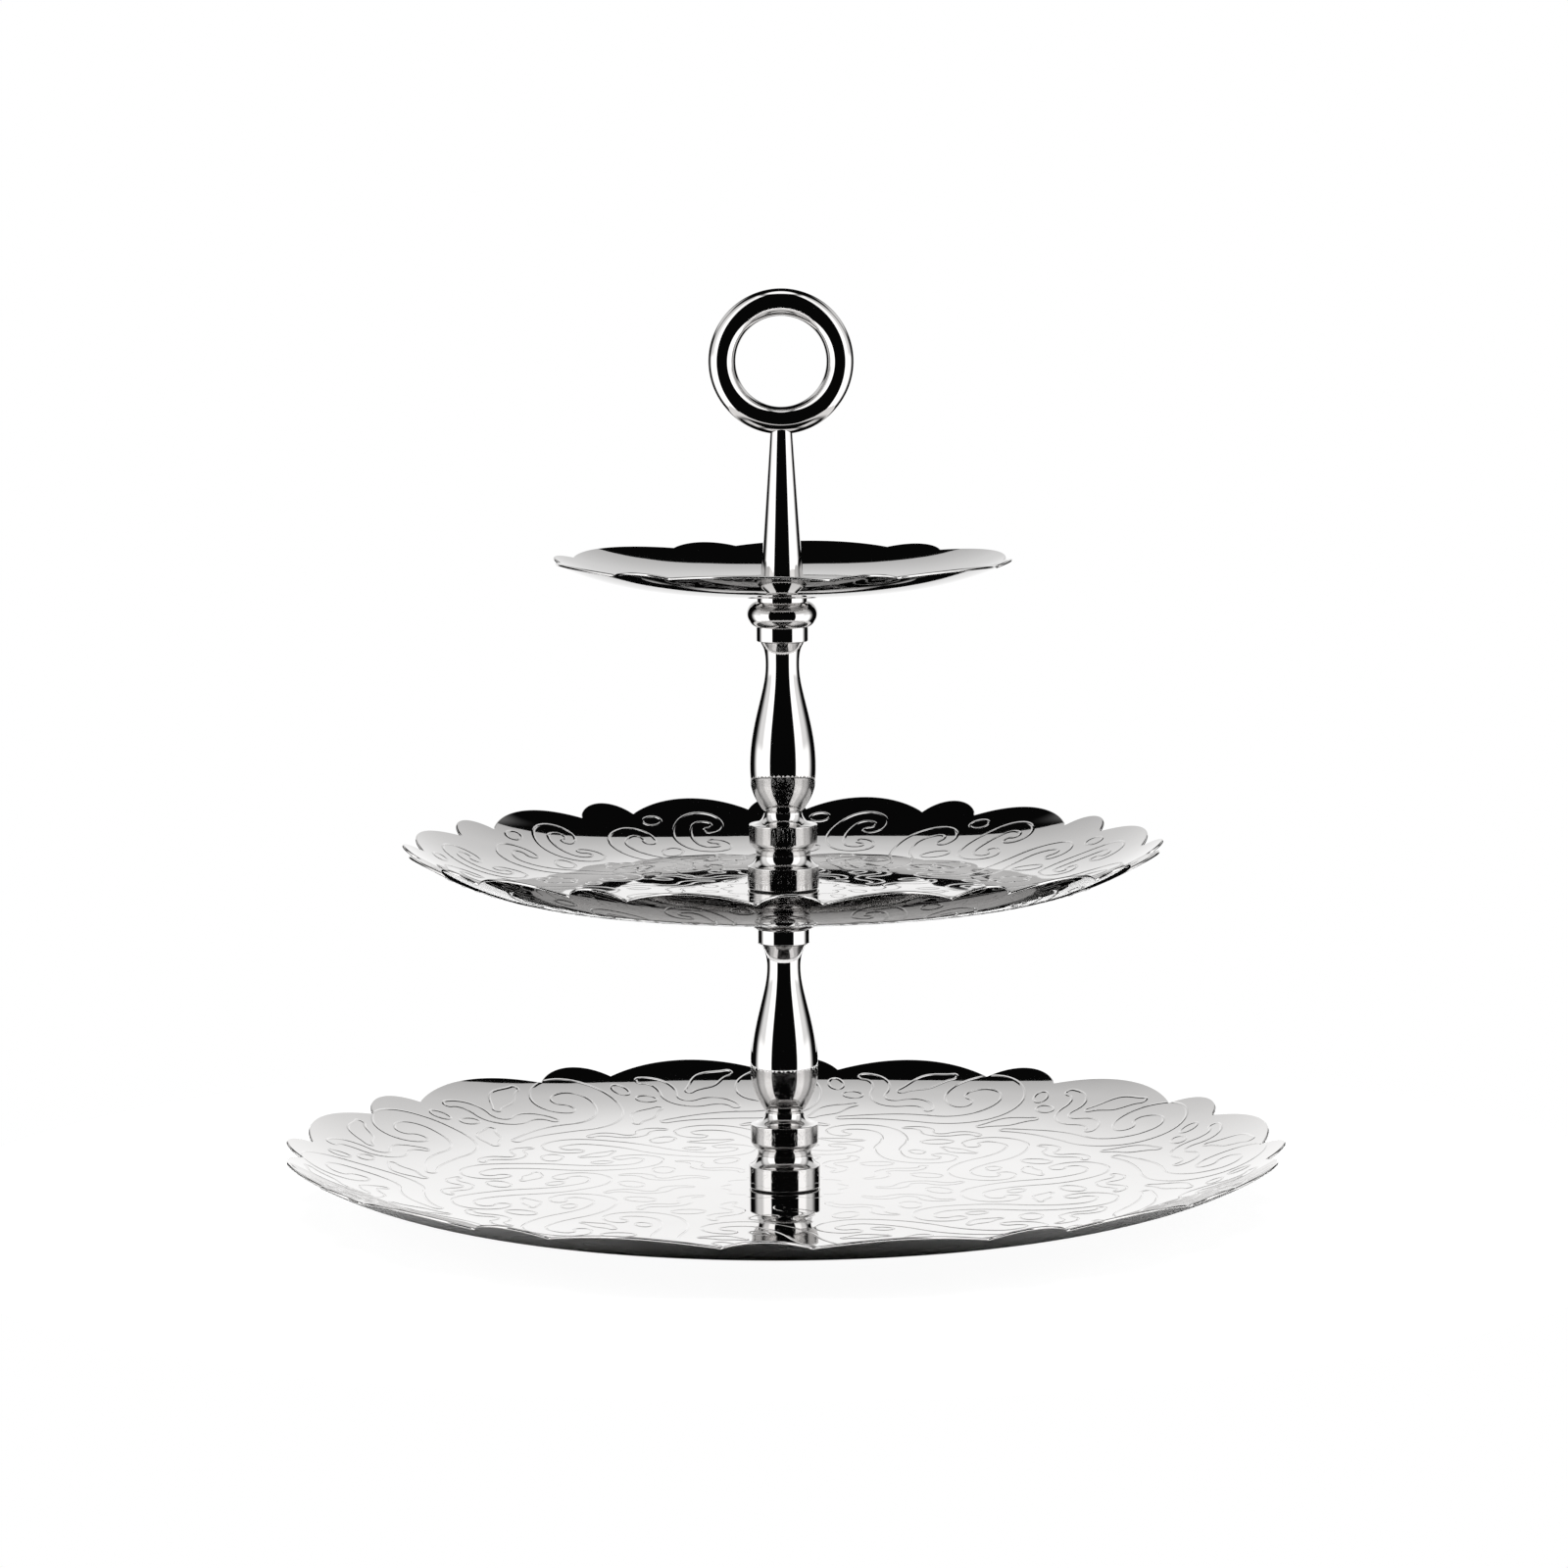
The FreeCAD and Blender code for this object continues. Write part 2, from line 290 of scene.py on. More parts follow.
def ribbon(size, arcs, widths):
    """Outline of a scroll whose width runs through the widths given, with round ends."""
    points, headings = stroke([(radius * size, degrees) for radius, degrees in arcs])
    half = 0.5 * size * eased(np.linspace(0.0, 1.0, len(points)), widths)
    side = np.stack([-np.sin(headings), np.cos(headings)], 1)
    left = points + side * half[:, None]
    right = points - side * half[:, None]
    tip = round_end(points[-1], headings[-1], half[-1])
    root = round_end(points[0], headings[0] + math.pi, half[0])
    line = np.concatenate([right, tip, left[::-1], root])
    return line - (line.min(0) + line.max(0)) / 2.0


def spiral(size):
    """Long scroll from a narrow tail into a full curl."""
    arcs = [(36.0, -36.0), (15.0, 88.0), (8.4, 140.0), (4.8, 120.0)]
    return ribbon(size, arcs, [2.4, 5.4, 6.6, 5.6, 5.0])


def double(size):
    """C shape with a curl at both ends."""
    arcs = [(3.9, 150.0), (7.2, 85.0), (17.0, 62.0), (7.2, 85.0), (3.9, 150.0)]
    return ribbon(size, arcs, [3.6, 5.0, 6.4, 5.0, 3.6])


def wave(size):
    """S shape with a curl at both ends."""
    arcs = [(3.9, 140.0), (8.0, 80.0), (24.0, 34.0), (24.0, -34.0), (8.0, -80.0), (3.9, -140.0)]
    return ribbon(size, arcs, [3.4, 4.8, 5.8, 4.8, 3.4])


def comma(size):
    """Hooked drop."""
    return ribbon(size, [(20.0, 42.0), (6.0, 135.0)], [2.4, 5.8, 4.8])


def leaf(size):
    """Slender leaf with a slight bend."""
    return ribbon(size, [(26.0, 36.0)], [2.6, 7.2, 2.6])


def vine(size):
    """Short wavy stroke."""
    arcs = [(6.0, 105.0), (6.0, -125.0), (6.0, 105.0)]
    return ribbon(size, arcs, [2.6, 4.8, 3.6, 4.8, 2.6])


def lobed(size, lobes, depth, stretch=1.0):
    """Round outline with equal lobes, or an oval where there are none."""
    turns = np.linspace(0.0, 2.0 * math.pi, 240, endpoint=False)
    reach = size * (1.0 + depth * (np.abs(np.cos(turns * lobes / 2.0)) - 0.6))
    return np.stack([reach * np.sin(turns), stretch * reach * np.cos(turns)], 1)


MOTIFS = {
    "spiral": spiral,
    "double": double,
    "wave": wave,
    "comma": comma,
    "leaf": leaf,
    "vine": vine,
    "oval": lambda size: lobed(3.2 * size, 0, 0.0, 1.5),
    "flower": lambda size: lobed(5.6 * size, 5, 0.42),
}

# Dishes with relief: the line round the middle, the motifs set one by one as (motif, size, distance
# from the axis, degrees from a wide lobe's middle, turn), and those that fill the rest as
# (motif, size, tries)
SCROLLWORK = {
    "lower": (
        (20.5, 12, 0.16),
        [("spiral", 1.45, 136.0, 6.0, -60.0)],
        [("wave", 1.6, 60), ("double", 1.5, 120), ("vine", 1.6, 60), ("spiral", 1.3, 160),
         ("vine", 1.3, 160), ("wave", 1.2, 160), ("double", 1.2, 200), ("flower", 1.4, 30),
         ("spiral", 1.0, 240), ("vine", 1.0, 300), ("double", 0.95, 300), ("comma", 1.3, 300),
         ("leaf", 1.2, 300), ("comma", 1.0, 400), ("vine", 0.8, 400), ("oval", 1.2, 300),
         ("leaf", 0.9, 400), ("oval", 0.8, 400)],
    ),
    "middle": (
        (19.5, 12, 0.16),
        [("double", 1.0, 106.0, 0.0, -90.0)],
        [("wave", 1.25, 60), ("vine", 1.3, 100), ("spiral", 1.15, 160), ("double", 1.1, 200),
         ("vine", 1.05, 200), ("wave", 0.95, 200), ("flower", 1.1, 30), ("double", 0.9, 300),
         ("spiral", 0.9, 240), ("vine", 0.85, 300), ("comma", 1.1, 300), ("leaf", 1.0, 300),
         ("comma", 0.9, 400), ("oval", 1.1, 300), ("leaf", 0.8, 400), ("oval", 0.75, 400)],
    ),
}


def placed(points, reach, degrees, turn, mirror=False):
    """Put a motif on the dish, turned on itself; degrees go from +Y towards +X."""
    if mirror:
        points = points[::-1] * np.array([-1.0, 1.0])
        turn = -turn
    a = math.radians(turn)
    x = points[:, 0] * math.cos(a) - points[:, 1] * math.sin(a)
    y = points[:, 0] * math.sin(a) + points[:, 1] * math.cos(a) + reach
    b = math.radians(degrees)
    return np.stack([x * math.cos(b) + y * math.sin(b), y * math.cos(b) - x * math.sin(b)], 1)


def spaced(points):
    """The closed line again, with points closer together where it bends more."""
    ring = np.concatenate([points, points[:1]])
    gaps = np.hypot(*np.diff(ring, axis=0).T)
    ring = ring[np.concatenate([gaps > 1e-6, [True]])]
    step = np.diff(ring, axis=0)
    gaps = np.hypot(*step.T)
    heading = np.unwrap(np.arctan2(step[:, 1], step[:, 0]))
    bend = np.abs(np.roll(heading, -1) - heading)
    bend[-1] = 0.0
    bend = np.convolve(np.concatenate([bend[-3:], bend, bend[:3]]), np.full(7, 1.0 / 7.0), "valid")
    wanted = np.clip(BEND_STEP * np.sqrt(gaps / np.maximum(bend, 1e-4)), SHORT_STEP, LONG_STEP)
    along = np.concatenate([[0.0], np.cumsum(gaps / wanted)])
    stops = np.linspace(0.0, along[-1], max(8, int(round(along[-1]))) + 1)[:-1]
    return np.stack([np.interp(stops, along, ring[:, 0]), np.interp(stops, along, ring[:, 1])], 1)


class Cover:
    """Grid over the plan that remembers which cells are near the lines marked so far."""

    def __init__(self, reach, clearance):
        self.cell = 0.5
        self.half = int(reach / self.cell) + 8
        self.near = np.zeros((2 * self.half, 2 * self.half), bool)
        steps = np.arange(-int(clearance / self.cell), int(clearance / self.cell) + 1)
        east, north = np.meshgrid(steps, steps)
        inside = np.hypot(east, north) * self.cell <= clearance
        self.disc = np.stack([east[inside], north[inside]], 1)

    def cells(self, points):
        return np.clip(np.round(points / self.cell).astype(int) + self.half, 0, 2 * self.half - 1)

    def mark(self, points):
        cells = self.cells(points)[:, None, :] + self.disc[None, :, :]
        cells = np.clip(cells, 0, 2 * self.half - 1)
        self.near[cells[..., 0], cells[..., 1]] = True

    def covers(self, points):
        cells = self.cells(points)
        return self.near[cells[:, 0], cells[:, 1]]


def scrollwork(name):
    """Every relief line of a dish, in plan: set motifs, then a filling that keeps clear of them."""
    if name not in SCROLLWORK:
        return []
    middle_line, fixed, fillers = SCROLLWORK[name]
    rim = DISHES[name][:1] + DISHES[name][5:]
    radius, _, pairs, _, first_narrow = rim
    period = 360.0 / pairs
    first_wide = first_narrow + period / 2.0
    cover = Cover(radius, LINE_CLEARANCE)
    centre_line = lobed(*middle_line)
    lines = [centre_line]
    cover.mark(centre_line)

    def free(line):
        reach = np.hypot(*line.T)
        limit = rim_radius(np.degrees(np.arctan2(line[:, 0], line[:, 1])), *rim) - RIM_MARGIN
        if (reach > limit).any() or (reach < 1.1 * middle_line[0]).any():
            return False
        if cover.covers(line).any():
            return False
        twin = placed(line, 0.0, period, 0.0)
        gaps = np.hypot(*(line[::3, None, :] - twin[None, ::3, :]).transpose(2, 0, 1))
        return gaps.min() > LINE_CLEARANCE

    def add(line):
        for index in range(pairs):
            copy = placed(line, 0.0, period * index, 0.0)
            lines.append(copy)
            cover.mark(copy)

    for kind, size, reach, degrees, turn in fixed:
        add(placed(MOTIFS[kind](size), reach, first_wide + degrees, turn))
    random = np.random.default_rng(SEED[name])
    for kind, size, tries in fillers:
        shape = MOTIFS[kind](size)
        for _ in range(tries):
            share, at, turn, flip = random.random(4)
            reach = math.sqrt(share) * radius
            line = placed(shape, reach, at * period, turn * 360.0, flip < 0.5)
            if free(line):
                add(line)
    return lines


# ---- dishes --------------------------------------------------------------------------------
def rim_radius(degrees, radius, notch_depth, pairs, wide_share, first_narrow):
    """Distance of the rim from the axis; degrees go from +Y towards +X."""
    period = 360.0 / pairs
    wide = period * wide_share
    narrow = period - wide
    place = np.mod(degrees - first_narrow + narrow / 2.0, period)
    on_narrow = place < narrow
    half = np.where(on_narrow, narrow, wide) / 2.0
    middle = np.where(on_narrow, narrow / 2.0, narrow + wide / 2.0)
    notch = radius - notch_depth
    chord = notch * np.sin(np.radians(half))
    rise = radius - notch * np.cos(np.radians(half))
    lobe = (chord ** 2 + rise ** 2) / (2.0 * rise)
    centre = radius - lobe
    across = np.radians(place - middle)
    return centre * np.cos(across) + np.sqrt(lobe ** 2 - (centre * np.sin(across)) ** 2)


def wall_height(reach, radius, depth, bend_from, power):
    """Height of the inside face and its slope, at a distance from the axis."""
    run = radius - bend_from
    up_wall = np.maximum(reach - bend_from, 0.0) / run
    return depth * up_wall ** power, depth / run * power * up_wall ** (power - 1.0)


def ring_edges(first, size):
    return [(first + i, first + (i + 1) % size) for i in range(size)]


def coarse_points(radius, floor_r):
    """Rings of points that carry the plain parts of a dish."""
    rings = []
    reach = 6.0
    while reach < radius:
        spacing = 4.5 if reach < floor_r else 3.2
        size = int(2.0 * math.pi * reach / spacing)
        turns = 2.0 * math.pi * (np.arange(size) + 0.5 * (len(rings) % 2)) / size
        rings.append(reach * np.stack([np.sin(turns), np.cos(turns)], 1))
        reach += spacing
    return np.concatenate(rings)


def dish(name, body, material):
    """Pressed sheet with both faces, relief lines, a rounded scalloped rim and a bolt hole."""
    radius, depth, floor_r, bend_from, power = DISHES[name][:5]
    rim = DISHES[name][:1] + DISHES[name][5:]
    pairs, wide_share, first_narrow = rim[2:]

    # rim plan, one point about every millimetre, with a point on every notch
    period = 360.0 / pairs
    edge_degrees = []
    for index in range(pairs):
        start = first_narrow + index * period - period * (1.0 - wide_share) / 2.0
        for share in (1.0 - wide_share, wide_share):
            steps = max(8, int(round(math.radians(period * share) * radius)))
            edge_degrees += list(start + period * share * np.arange(steps) / steps)
            start += period * share
    edge_degrees = np.array(edge_degrees)
    reach = rim_radius(edge_degrees, *rim)
    bearing = np.radians(edge_degrees)
    plan = np.stack([reach * np.sin(bearing), reach * np.cos(bearing)], 1)
    ahead = np.roll(plan, -1, 0) - plan
    ahead /= np.linalg.norm(ahead, axis=1)[:, None]
    along = ahead + np.roll(ahead, 1, 0)
    along /= np.linalg.norm(along, axis=1)[:, None]
    outward = np.stack([-along[:, 1], along[:, 0]], 1)
    widening = 1.0 / np.maximum(0.75, np.sum(along * ahead, 1))
    border = plan - outward * (RIM_INSET * widening)[:, None]

    count = int(round(2.0 * math.pi * HOLE_R / 0.5))
    turns = 2.0 * math.pi * np.arange(count) / count
    hole = HOLE_R * np.stack([np.sin(turns), np.cos(turns)], 1)

    # points for the triangulation: border, hole, relief strips, then a coarse filling;
    # each has its height along the sheet's normal and the slope of that height
    points = [border, hole]
    rises = [np.zeros(len(border) + count)]
    slopes = [np.zeros((len(border) + count, 2))]
    edges = ring_edges(0, len(border)) + ring_edges(len(border), count)
    total = len(border) + count
    cover = Cover(radius, FILLING_CLEARANCE)
    for line in scrollwork(name):
        cover.mark(line)
        line = spaced(line)
        way = np.roll(line, -1, 0) - np.roll(line, 1, 0)
        way /= np.linalg.norm(way, axis=1)[:, None]
        side = np.stack([way[:, 1], -way[:, 0]], 1)
        outer = np.clip((np.hypot(*line.T) - FAINT_R) / (floor_r - FAINT_R), 0.0, 1.0)
        crest = RELIEF_HEIGHT * (FAINT_SHARE + (1.0 - FAINT_SHARE) * outer)
        for share in (-1.0, -0.45, 0.45, 1.0):
            points.append(line + side * share * RELIEF_HALF)
            rises.append(crest * math.cos(0.5 * math.pi * share) ** 2)
            fall = crest * math.pi / (2.0 * RELIEF_HALF) * math.sin(math.pi * share)
            slopes.append(-side * fall[:, None])
            edges += ring_edges(total, len(line))
            total += len(line)
    filling = coarse_points(radius, floor_r)
    limit = rim_radius(np.degrees(np.arctan2(filling[:, 0], filling[:, 1])), *rim)
    keep = (np.hypot(*filling.T) < limit - RIM_INSET - FILLING_INSET) & ~cover.covers(filling)
    points = np.concatenate(points + [filling[keep]])
    rises = np.concatenate(rises + [np.zeros(keep.sum())])
    slopes = np.concatenate(slopes + [np.zeros((keep.sum(), 2))])

    made = delaunay_2d_cdt([Vector(p) for p in points], edges, [], 0, 1e-6)
    flat_points = np.array([tuple(v) for v in made[0]])
    triangles = np.array(made[2])
    source = [olds[0] if olds else len(points) for olds in made[3]]
    new_index = {old: new for new, olds in enumerate(made[3]) for old in olds}
    rise = np.append(rises, 0.0)[source]
    relief_slope = np.vstack([slopes, [[0.0, 0.0]]])[source]
    middle = flat_points[triangles].mean(1)
    middle_reach = np.hypot(*middle.T)
    border_ring = [new_index[i] for i in range(len(border))]
    hole_ring = [new_index[len(border) + i] for i in range(count)]
    inside = inside_ring(middle, flat_points[border_ring])
    triangles = triangles[inside & (middle_reach > HOLE_R * 0.995)]

    # lift the plan onto the dish, with the relief along the sheet's own normal
    reach = np.hypot(*flat_points.T)
    height, slope = wall_height(reach, radius, depth, bend_from, power)
    radial = flat_points / reach[:, None]
    upright = 1.0 / np.sqrt(1.0 + slope ** 2)
    sheet_normal = np.column_stack([-radial * (slope * upright)[:, None], upright])
    gradient = radial * slope[:, None] + relief_slope
    normal = np.column_stack([-gradient, np.ones(len(gradient))])
    normal /= np.linalg.norm(normal, axis=1)[:, None]
    base = np.column_stack([flat_points, height]) + np.array([0.0, 0.0, FLOORS[name]])
    top = base + sheet_normal * rise[:, None]
    bottom = top - sheet_normal * SHEET

    used = np.unique(triangles)
    compact = np.full(len(flat_points), -1)
    compact[used] = np.arange(len(used))
    size = len(used)
    vertices = [top[used], bottom[used]]
    normals = [normal[used], -normal[used]]
    triangles = compact[triangles]
    faces = [tuple(t) for t in triangles]
    faces += [(c + size, b + size, a + size) for a, b, c in triangles]
    border_ring = compact[border_ring]
    hole_ring = compact[hole_ring]

    # rounded rim
    out3 = np.column_stack([outward, np.zeros(len(outward))])
    lean = sheet_normal[used][border_ring]
    out3 -= lean * np.sum(out3 * lean, 1)[:, None]
    out3 /= np.linalg.norm(out3, axis=1)[:, None]
    centre = (top[used][border_ring] + bottom[used][border_ring]) / 2.0
    rim_steps = 6
    rings = [list(border_ring)]
    total = 2 * size
    for step in range(1, rim_steps):
        angle = math.pi * step / rim_steps
        direction = lean * math.cos(angle) + out3 * math.sin(angle)
        vertices.append(centre + 0.5 * SHEET * direction)
        normals.append(direction)
        rings.append(list(range(total, total + len(border_ring))))
        total += len(border_ring)
    rings.append([i + size for i in border_ring])
    for upper, lower in zip(rings, rings[1:]):
        count_around = len(upper)
        for i in range(count_around):
            j = (i + 1) % count_around
            faces.append((upper[i], upper[j], lower[j], lower[i]))
    for i in range(count):
        j = (i + 1) % count
        faces.append((hole_ring[j], hole_ring[i], hole_ring[i] + size, hole_ring[j] + size))

    piece = add_mesh(name + "_dish_sheet", np.concatenate(vertices), faces, body,
                     [name + "_dish"], material)
    corner_normals = [tuple(n) for n in np.concatenate(normals)]
    piece.data.normals_split_custom_set_from_vertices(corner_normals)


def inside_ring(points, ring):
    """True for each point inside the closed ring, by its angle about the centre."""
    ring_angle = np.arctan2(ring[:, 0], ring[:, 1])
    order = np.argsort(ring_angle)
    limit = np.interp(np.arctan2(points[:, 0], points[:, 1]), ring_angle[order],
                      np.hypot(*ring.T)[order], period=2.0 * math.pi)
    return np.hypot(*points.T) < limit


# ---- materials -----------------------------------------------------------------------------
def new_material(name):
    material = bpy.data.materials.new(name)
    material.use_nodes = True
    tree = material.node_tree
    return material, tree, tree.nodes["Principled BSDF"]


def node(tree, kind, inputs=(), **settings):
    """A node with its settings, and its inputs as values or as the sockets they come from."""
    made = tree.nodes.new(kind)
    for key, value in settings.items():
        setattr(made, key, value)
    for key, value in dict(inputs).items():
        if isinstance(value, bpy.types.NodeSocket):
            tree.links.new(value, made.inputs[key])
        else:
            made.inputs[key].default_value = value
    return made


def noise(tree, place, scale, detail):
    return node(tree, "ShaderNodeTexNoise", {
        "Vector": place, "Scale": scale, "Detail": detail}).outputs["Fac"]


def tinted(tree, factor, first, second):
    """Colour from the first to the second, by the factor."""
    return node(tree, "ShaderNodeMix", {
        "Factor": factor, "A": (*first, 1.0), "B": (*second, 1.0)}, data_type="RGBA").outputs[2]


def mapped(tree, value, given, wanted, **settings):
    """Bring a value from one range to another."""
    return node(tree, "ShaderNodeMapRange", {
        "Value": value, "From Min": given[0], "From Max": given[1],
        "To Min": wanted[0], "To Max": wanted[1]}, **settings).outputs["Result"]


def link_looks(tree, shader, colour, roughness, bumps, depth):
    """Give the shader its colour, its roughness and bumps of this depth."""
    raised = node(tree, "ShaderNodeBump", {"Height": bumps, "Distance": depth})
    tree.links.new(colour, shader.inputs["Base Color"])
    tree.links.new(roughness, shader.inputs["Roughness"])
    tree.links.new(raised.outputs["Normal"], shader.inputs["Normal"])


def polished_steel(name, painted_shade_beneath=1.0):
    """Mirror-polished steel: faint haze, faint waviness, a trace of wiping marks.

    The last argument is the reflectance of faces that look down, as a share of the other faces':
    painted shade, a darker colour on the undersides.
    """
    material, tree, shader = new_material(name)
    shader.inputs["Metallic"].default_value = 1.0
    coordinates = node(tree, "ShaderNodeTexCoord").outputs
    place = coordinates["Object"]
    cloud = noise(tree, place, 38.0, 3.0)
    tint = tinted(tree, cloud, (0.665, 0.654, 0.647), (0.705, 0.697, 0.692))
    # painted shade: the colour is made darker on faces that look down
    up = node(tree, "ShaderNodeSeparateXYZ", {"Vector": coordinates["Normal"]}).outputs["Z"]
    share = mapped(tree, up, (-0.55, -0.15), (painted_shade_beneath, 1.0))
    shade = node(tree, "ShaderNodeVectorMath", {0: tint, "Scale": share}, operation="SCALE")
    streaks = node(tree, "ShaderNodeMapping", {"Vector": place, "Scale": (220.0, 2600.0, 900.0)})
    wiped = noise(tree, streaks.outputs[0], 1.0, 2.0)
    haze = node(tree, "ShaderNodeMath", {0: cloud, 1: wiped}, operation="MULTIPLY")
    rough = mapped(tree, haze.outputs[0], (0.12, 0.4), (0.012, 0.045))
    link_looks(tree, shader, shade.outputs[0], rough, noise(tree, place, 55.0, 1.0), 6e-5)
    return material


def fastener_steel():
    """Duller steel with a fine, even grain."""
    material, tree, shader = new_material("fastener_steel")
    shader.inputs["Metallic"].default_value = 1.0
    place = node(tree, "ShaderNodeTexCoord").outputs["Object"]
    fine = noise(tree, place, 1800.0, 4.0)
    tint = tinted(tree, fine, (0.48, 0.475, 0.465), (0.62, 0.615, 0.605))
    rough = mapped(tree, fine, (0.3, 0.7), (0.22, 0.38))
    link_looks(tree, shader, tint, rough, fine, 1.5e-5)
    return material


def soft_black(name, shades, roughness, grain, relief):
    """Black plastic or rubber: two close shades, and a moulded grain of this scale and depth."""
    material, tree, shader = new_material(name)
    shader.inputs["Specular IOR Level"].default_value = 0.4
    place = node(tree, "ShaderNodeTexCoord").outputs["Object"]
    speckle = noise(tree, place, grain, 5.0)
    tint = tinted(tree, speckle, [shades[0]] * 3, [shades[1]] * 3)
    rough = mapped(tree, speckle, (0.0, 1.0), roughness)
    link_looks(tree, shader, tint, rough, speckle, relief)
    return material


# ---- studio --------------------------------------------------------------------------------
class Sums:
    """Short ways to write arithmetic on node sockets."""

    def __init__(self, tree):
        self.tree = tree

    def math(self, operation, *values):
        made = node(self.tree, "ShaderNodeMath", dict(enumerate(values)), operation=operation)
        return made.outputs[0]

    def times(self, first, *others):
        for other in others:
            first = self.math("MULTIPLY", first, other)
        return first

    def choose(self, factor, usual, other):
        """The other value where the factor is 1."""
        return node(self.tree, "ShaderNodeMix", {
            "Factor": factor, "A": usual, "B": other}, data_type="FLOAT").outputs[0]

    def ramp(self, value, low, high):
        """0 below low, 1 above high, smooth between."""
        return mapped(self.tree, value, (low, high), (0.0, 1.0), interpolation_type="SMOOTHSTEP")

    def band(self, value, low, high, soft):
        """1 between low and high, falling to 0 over the soft width."""
        return self.times(self.ramp(value, low - soft, low + soft),
                          self.ramp(value, high + soft, high - soft))


def studio():
    """White surround for the camera; soft boxes, black flags and light on the table for the rest.

    Angles are in degrees. Azimuth goes from 0 at the camera to 180 behind the stand, the same to
    the left and to the right; elevation goes from 0 at the horizon to 90 overhead.
    """
    world = bpy.data.worlds.new("studio")
    bpy.context.scene.world = world
    world.use_nodes = True
    tree = world.node_tree
    sums = Sums(tree)
    tree.nodes.clear()
    direction = node(tree, "ShaderNodeTexCoord").outputs["Generated"]
    x, y, z = node(tree, "ShaderNodeSeparateXYZ", {"Vector": direction}).outputs
    from_front = sums.math("ARCTAN2", x, sums.times(y, -1.0))
    azimuth = sums.times(sums.math("ABSOLUTE", from_front), math.degrees(1.0))
    elevation = sums.times(sums.math("ARCSINE", z), math.degrees(1.0))

    # what the steel mirrors: a box to each side, one overhead, and strips beside the back card
    side_boxes = sums.times(
        sums.ramp(azimuth, 43.0, 47.0), sums.ramp(azimuth, 119.0, 92.0),
        sums.band(elevation, -60.0, 72.0, 4.0))
    overhead = sums.ramp(elevation, 73.0, 80.0)
    higher = sums.times(sums.ramp(elevation, 18.0, 50.0), BOX_FALL)
    across = sums.times(
        sums.ramp(azimuth, 68.0, 80.0), sums.band(elevation, 3.0, 68.0, 3.0), BOX_DIP)
    boxes = sums.times(
        sums.math("ADD", side_boxes, overhead),
        sums.math("SUBTRACT", BOX_LIGHT, higher),
        sums.math("SUBTRACT", 1.0, across))
    beside_card = sums.times(
        sums.ramp(azimuth, 108.0, 122.0), sums.ramp(azimuth, 158.0, 148.0),
        sums.band(elevation, 18.0, 40.0, 4.0), BESIDE_LIGHT)
    glow = sums.math("ADD", sums.math("ADD", boxes, beside_card), STRAY_LIGHT)

    # what lights the table
    from_above = sums.times(sums.ramp(elevation, 60.0, 75.0), TABLE_LIGHT)
    from_sides = sums.times(
        sums.ramp(azimuth, 62.0, 80.0), sums.ramp(azimuth, 125.0, 105.0),
        sums.band(elevation, 13.0, 42.0, 2.0), SIDE_LIGHT)
    on_diffuse = sums.math("ADD", from_above, from_sides)

    path = node(tree, "ShaderNodeLightPath").outputs
    strength = sums.choose(path["Is Diffuse Ray"], glow, on_diffuse)
    strength = sums.choose(path["Is Camera Ray"], strength, 1.0)
    background = node(tree, "ShaderNodeBackground", {
        "Color": (1.0, 1.0, 1.0, 1.0), "Strength": strength})
    out = node(tree, "ShaderNodeOutputWorld", {"Surface": background.outputs[0]})
    out.is_active_output = True
    world.cycles.sampling_method = "NONE"


def stage_sheet(name, corners):
    """One flat face that isn't part of the object."""
    mesh = bpy.data.meshes.new(name)
    mesh.from_pydata(corners, [], [tuple(range(len(corners)))])
    sheet = bpy.data.objects.new(name, mesh)
    bpy.context.scene.collection.objects.link(sheet)
    return sheet


def table_top():
    """Round white table that the stand rests on; from below it is clear."""
    sides = 96
    turns = [2.0 * math.pi * i / sides for i in range(sides)]
    corners = [(TABLE_R * math.cos(turn), TABLE_R * math.sin(turn), 0.0) for turn in turns]
    floor = stage_sheet("table_top", corners)
    material, tree, shader = new_material("table_white")
    shader.inputs["Base Color"].default_value = (0.42, 0.42, 0.42, 1.0)
    shader.inputs["Roughness"].default_value = 1.0
    shader.inputs["Specular IOR Level"].default_value = 0.0
    to_camera = node(tree, "ShaderNodeLightPath").outputs["Is Camera Ray"]
    faint = Sums(tree).times(to_camera, TABLE_HAZE)
    white = node(tree, "ShaderNodeEmission", {"Strength": TABLE_WHITE})
    both = node(tree, "ShaderNodeMixShader", {0: faint, 1: shader.outputs[0], 2: white.outputs[0]})
    seen = node(tree, "ShaderNodeMixShader", {
        0: node(tree, "ShaderNodeNewGeometry").outputs["Backfacing"],
        1: both.outputs[0],
        2: node(tree, "ShaderNodeBsdfTransparent").outputs[0]})
    tree.links.new(seen.outputs[0], tree.nodes["Material Output"].inputs["Surface"])
    floor.data.materials.append(material)


